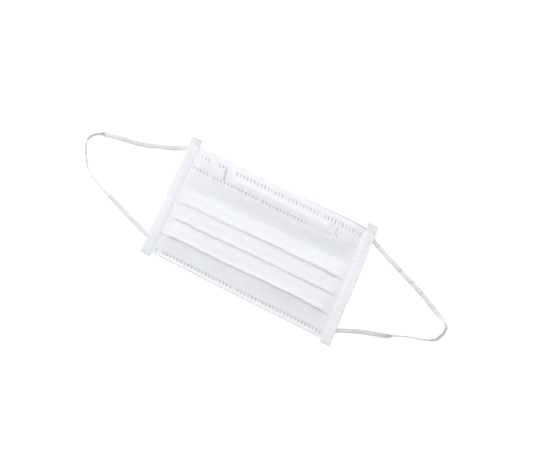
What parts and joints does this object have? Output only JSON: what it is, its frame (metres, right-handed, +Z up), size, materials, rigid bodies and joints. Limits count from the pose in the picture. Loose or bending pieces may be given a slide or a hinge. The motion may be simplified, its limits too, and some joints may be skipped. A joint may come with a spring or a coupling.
{
  "type": "pleated surgical face mask",
  "caption": "Flat-folded pleated face mask of thin nonwoven cloth, with a nose wire in a hem, folded side bindings and flat elastic ear loops.",
  "frame": {"origin": "on the surface that the mask lies on, under the middle of the mask body", "axes": "+X across the mask to the right as it lies outer face up, +Y towards the nose edge, +Z up through the outer face"},
  "size_m": [0.337, 0.1046, 0.005],
  "materials": {
    "nonwoven_cloth": "matt white spunbond nonwoven with a fine bonded dot pattern",
    "nose_strip": "white plastic-coated soft wire, flat",
    "binding_tape": "matt white nonwoven tape, slightly see-through where single, welded",
    "elastic_band": "white knitted flat elastic, fine lengthwise ribs"
  },
  "bodies": {
    "root": {"pleated_panel": "nonwoven_cloth", "nose_wire": "nose_strip", "binding_left": "binding_tape", "binding_right": "binding_tape", "ear_loop_left": "elastic_band", "ear_loop_right": "elastic_band"}
  },
  "joints": []
}
